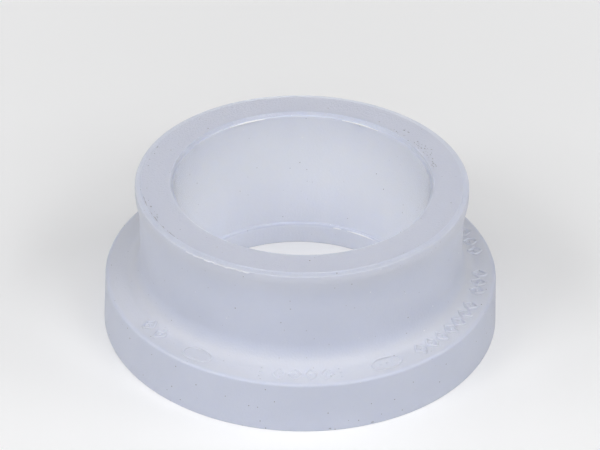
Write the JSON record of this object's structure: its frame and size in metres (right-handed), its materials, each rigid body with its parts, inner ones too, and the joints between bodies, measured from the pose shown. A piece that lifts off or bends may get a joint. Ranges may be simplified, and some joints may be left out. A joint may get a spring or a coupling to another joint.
{
  "type": "flange adapter",
  "caption": "Socket-fusion flange adapter in natural polypropylene: a thick flange with a flat sealing face, and a short neck that holds the pipe socket.",
  "frame": {"origin": "centre of the flat sealing face, which the adapter stands on", "axes": "+Z along the bore axis, from the sealing face towards the socket mouth; X and Y are arbitrary across the bore"},
  "size_m": [0.138, 0.138, 0.0545],
  "materials": {
    "natural_polypropylene": "milky, semi-translucent unpigmented polypropylene with a soft satin sheen"
  },
  "bodies": {
    "root": {"flange_adapter": "natural_polypropylene"}
  },
  "joints": []
}
